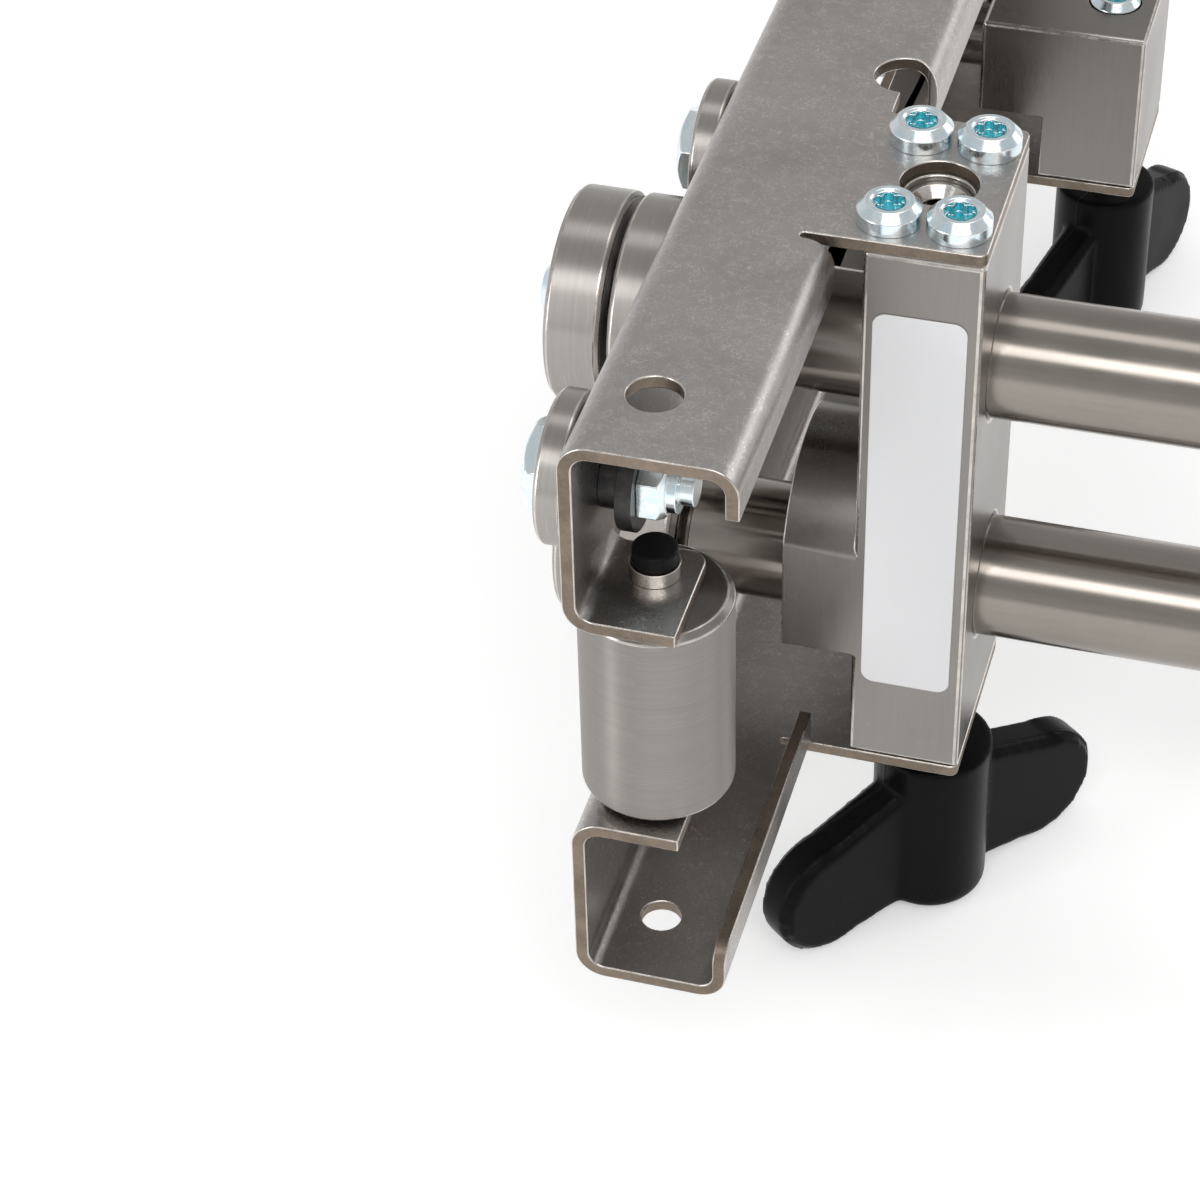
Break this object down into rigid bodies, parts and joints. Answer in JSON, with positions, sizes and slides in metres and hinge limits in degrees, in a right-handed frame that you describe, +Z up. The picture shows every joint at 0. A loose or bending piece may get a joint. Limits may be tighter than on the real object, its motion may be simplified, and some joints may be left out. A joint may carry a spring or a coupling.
{
  "type": "sheet metal bender",
  "caption": "Hand-pushed bender for panel edges: two bent steel rails with upright rollers and guide discs, a clamp block, two long tubes with disc pairs, and winged clamp screws",
  "frame": {"origin": "under the middle of the tool's box, on the surface that the wings of its three knobs stand on", "axes": "X runs along the two tubes, towards the end block. Y runs along the rails, away from the label's face. Z is up."},
  "size_m": [0.4716, 0.45, 0.2121],
  "materials": {
    "rail_steel": "stainless sheet with a fine rolled grain and laser-cut edges",
    "block_steel": "milled and fine-ground steel with bright chamfers",
    "label_film": "white printed film",
    "zinc_steel": "blue zinc plating",
    "pin_steel": "turned bright steel",
    "dark_steel": "black oxide",
    "brass": "turned brass",
    "bronze": "sintered bronze",
    "black_plastic": "moulded glass-filled nylon, fine grain",
    "cap_plastic": "black moulded plastic",
    "turned_steel": "turned steel with fine rings round the axis",
    "bearing_steel": "ground bearing steel",
    "tube_steel": "drawn stainless steel, satin"
  },
  "bodies": {
    "head": {"top_rail": "rail_steel", "bottom_rail": "rail_steel", "front_block": "block_steel", "label_plate": "label_film", "tab_screws": "zinc_steel", "clamp_bush": "pin_steel", "clamp_grub_screw": "dark_steel", "clamp_top_pad": "brass", "bottom_tab_screws": "zinc_steel", "rear_block": "block_steel", "rear_clamp_screw": "zinc_steel", "near_roller_pin": "pin_steel", "far_roller_pin": "pin_steel", "pin_caps": "cap_plastic", "pin_clips": "dark_steel", "guide_bolts": "zinc_steel", "guide_sleeves": "pin_steel", "guide_spacers": "dark_steel", "guide_washers": "dark_steel", "guide_nuts": "zinc_steel", "rear_post": "tube_steel", "post_screws": "zinc_steel"},
    "tubes": {"upper_tube": "tube_steel", "lower_tube": "tube_steel", "upper_axle": "tube_steel", "lower_axle": "tube_steel", "axle_spacers": "dark_steel", "axle_washers": "zinc_steel", "axle_screws": "zinc_steel", "tube_end_caps": "cap_plastic"},
    "upper_discs": {"upper_outer_disc": "turned_steel", "upper_inner_disc": "turned_steel", "upper_disc_bearings": "bearing_steel"},
    "lower_discs": {"lower_outer_disc": "turned_steel", "lower_inner_disc": "turned_steel", "lower_disc_bearings": "bearing_steel"},
    "near_roller": {"near_roller": "turned_steel", "near_roller_bushes": "bronze"},
    "far_roller": {"far_roller": "turned_steel", "far_roller_bushes": "bronze"},
    "guide_disc_1": {"guide_disc_1": "turned_steel"},
    "guide_disc_2": {"guide_disc_2": "turned_steel"},
    "guide_disc_3": {"guide_disc_3": "turned_steel"},
    "guide_disc_4": {"guide_disc_4": "turned_steel"},
    "rear_rod": {"rear_rod": "tube_steel", "rear_rod_screw": "zinc_steel"},
    "rear_roller": {"rear_roller": "turned_steel"},
    "front_wing_screw": {"front_knob": "black_plastic", "front_knob_screw": "pin_steel"},
    "rear_wing_screw": {"rear_knob": "black_plastic", "rear_knob_screw": "pin_steel"},
    "front_pad": {"front_pad": "brass"},
    "end_block": {"end_block": "block_steel"},
    "end_wing_screw": {"end_knob": "black_plastic", "end_knob_screw": "pin_steel"},
    "end_pad": {"end_pad": "brass"}
  },
  "joints": [
    {"name": "tube_slide", "type": "slide", "parent": "head", "child": "tubes", "axis": [1, 0, 0], "range_m": [-0.06, 0]},
    {"name": "upper_disc_spin", "type": "hinge", "parent": "tubes", "child": "upper_discs", "pos_m": [-0.21618, -0.1185, 0.1645], "axis": [1, 0, 0], "continuous": true},
    {"name": "lower_disc_spin", "type": "hinge", "parent": "tubes", "child": "lower_discs", "pos_m": [-0.21618, -0.1185, 0.1015], "axis": [1, 0, 0], "continuous": true},
    {"name": "near_roller_spin", "type": "hinge", "parent": "head", "child": "near_roller", "pos_m": [-0.18618, -0.2065, 0.132], "axis": [0, 0, 1], "continuous": true},
    {"name": "far_roller_spin", "type": "hinge", "parent": "head", "child": "far_roller", "pos_m": [-0.18618, 0.2065, 0.132], "axis": [0, 0, 1], "continuous": true},
    {"name": "guide_disc_1_spin", "type": "hinge", "parent": "head", "child": "guide_disc_1", "pos_m": [-0.20617, -0.201, 0.182], "axis": [1, 0, 0], "continuous": true},
    {"name": "guide_disc_2_spin", "type": "hinge", "parent": "head", "child": "guide_disc_2", "pos_m": [-0.20617, -0.081, 0.182], "axis": [1, 0, 0], "continuous": true},
    {"name": "guide_disc_3_spin", "type": "hinge", "parent": "head", "child": "guide_disc_3", "pos_m": [-0.20617, 0.081, 0.182], "axis": [1, 0, 0], "continuous": true},
    {"name": "guide_disc_4_spin", "type": "hinge", "parent": "head", "child": "guide_disc_4", "pos_m": [-0.20617, 0.201, 0.182], "axis": [1, 0, 0], "continuous": true},
    {"name": "rear_rod_slide", "type": "slide", "parent": "head", "child": "rear_rod", "axis": [1, 0, 0], "range_m": [-0.02, 0]},
    {"name": "rear_roller_spin", "type": "hinge", "parent": "rear_rod", "child": "rear_roller", "pos_m": [-0.20817, 0.125, 0.0945], "axis": [1, 0, 0], "continuous": true},
    {"name": "front_wing_turn", "type": "hinge", "parent": "head", "child": "front_wing_screw", "pos_m": [-0.14217, -0.1185, 0.02], "axis": [0, 0, 1], "range_deg": [-360, 0]},
    {"name": "rear_wing_turn", "type": "hinge", "parent": "head", "child": "rear_wing_screw", "pos_m": [-0.14317, 0.129, 0.02], "axis": [0, 0, 1], "range_deg": [-360, 0]},
    {"name": "end_wing_turn", "type": "hinge", "parent": "end_block", "child": "end_wing_screw", "pos_m": [0.18083, -0.1185, 0.02], "axis": [0, 0, 1], "range_deg": [-360, 0]},
    {"name": "end_block_slide", "type": "slide", "parent": "tubes", "child": "end_block", "axis": [1, 0, 0], "range_m": [-0.18, 0.03]},
    {"name": "front_pad_lift", "type": "slide", "parent": "head", "child": "front_pad", "axis": [0, 0, 1], "range_m": [-0.00125, 0]},
    {"name": "end_pad_lift", "type": "slide", "parent": "end_block", "child": "end_pad", "axis": [0, 0, 1], "range_m": [-0.00125, 0]}
  ],
  "couplings": [
    {"joint": "front_pad_lift", "follows": "front_wing_turn", "m_per_rad": 0.00019894},
    {"joint": "end_pad_lift", "follows": "end_wing_turn", "m_per_rad": 0.00019894}
  ]
}
